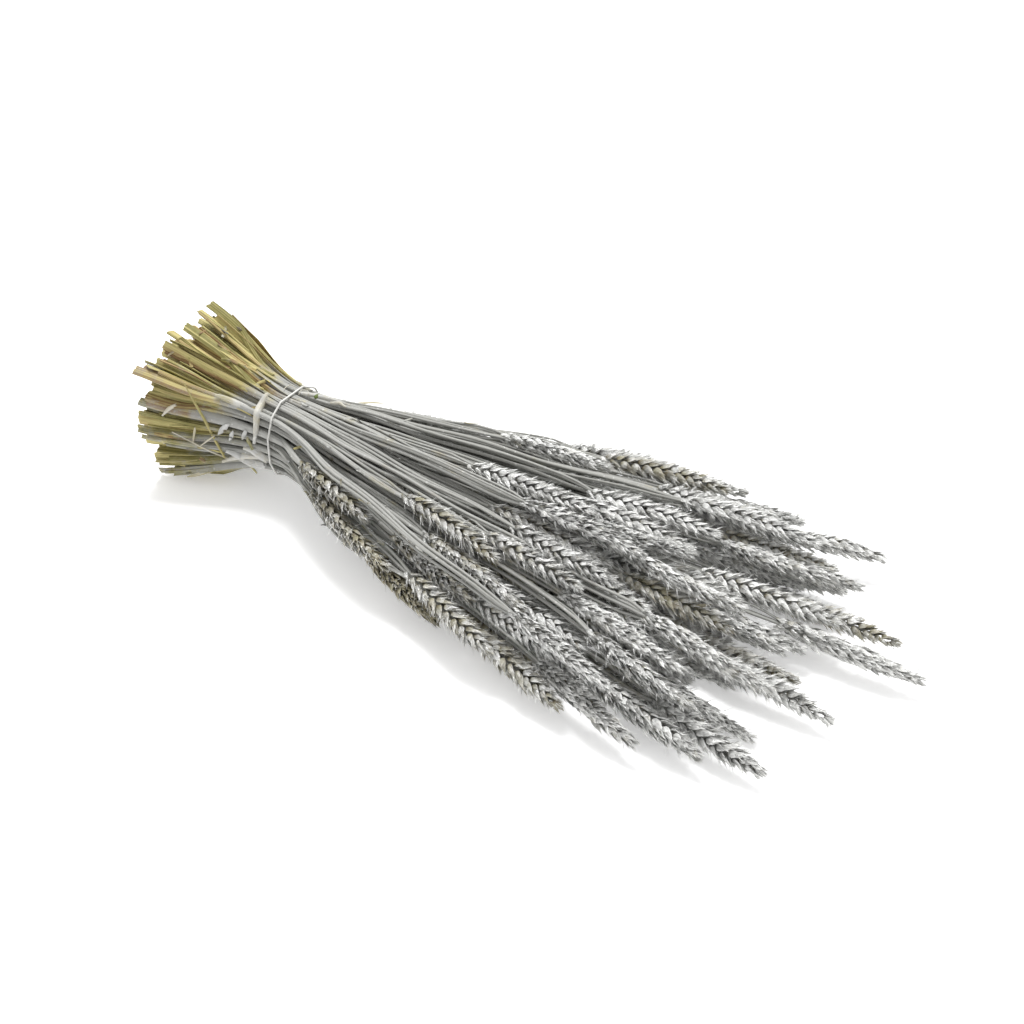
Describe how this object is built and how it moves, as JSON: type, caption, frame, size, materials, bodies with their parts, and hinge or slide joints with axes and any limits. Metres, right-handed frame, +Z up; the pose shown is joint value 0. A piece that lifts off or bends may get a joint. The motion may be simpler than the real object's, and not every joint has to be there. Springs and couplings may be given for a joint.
{
  "type": "bundle of dried wheat",
  "caption": "Bundle of dried wheat lying on its side, the straws and ears sprayed silver-grey and held near their bare cut ends by a thin white elastic band.",
  "frame": {"origin": "middle of the bounding box in plan, on the surface that the bundle lies on", "axes": "+X along the straws from the cut ends to the ears, +Y across the bundle, +Z up"},
  "size_m": [0.4738, 0.2208, 0.0952],
  "materials": {
    "painted_straw": "satin silver-grey spray paint on dried straw and ears, bare olive-yellow straw at the cut ends",
    "elastic": "matt white"
  },
  "bodies": {
    "root": {"wheat_stalks_01": "painted_straw", "wheat_stalks_02": "painted_straw", "wheat_stalks_03": "painted_straw", "wheat_stalks_04": "painted_straw", "wheat_stalks_05": "painted_straw", "wheat_stalks_06": "painted_straw", "wheat_stalks_07": "painted_straw", "wheat_stalks_08": "painted_straw", "wheat_stalks_09": "painted_straw", "wheat_stalks_10": "painted_straw", "wheat_stalks_11": "painted_straw", "wheat_stalks_12": "painted_straw", "wheat_stalks_13": "painted_straw", "wheat_stalks_14": "painted_straw", "wheat_stalks_15": "painted_straw", "wheat_stalks_16": "painted_straw", "wheat_stalks_17": "painted_straw", "wheat_stalks_18": "painted_straw", "wheat_stalks_19": "painted_straw", "wheat_stalks_20": "painted_straw", "wheat_stalks_21": "painted_straw", "wheat_stalks_22": "painted_straw", "wheat_stalks_23": "painted_straw", "wheat_stalks_24": "painted_straw", "wheat_stalks_25": "painted_straw", "wheat_stalks_26": "painted_straw", "wheat_stalks_27": "painted_straw", "wheat_stalks_28": "painted_straw", "wheat_stalks_29": "painted_straw", "wheat_stalks_30": "painted_straw", "wheat_stalks_31": "painted_straw", "wheat_stalks_32": "painted_straw", "wheat_stalks_33": "painted_straw", "wheat_stalks_34": "painted_straw", "wheat_stalks_35": "painted_straw", "wheat_stalks_36": "painted_straw", "wheat_stalks_37": "painted_straw", "wheat_stalks_38": "painted_straw", "wheat_stalks_39": "painted_straw", "wheat_stalks_40": "painted_straw", "wheat_stalks_41": "painted_straw", "wheat_stalks_42": "painted_straw", "wheat_stalks_43": "painted_straw", "wheat_stalks_44": "painted_straw", "wheat_stalks_45": "painted_straw", "wheat_stalks_46": "painted_straw", "wheat_stalks_47": "painted_straw", "wheat_stalks_48": "painted_straw", "wheat_stalks_49": "painted_straw", "wheat_stalks_50": "painted_straw", "elastic_band": "elastic"}
  },
  "joints": []
}
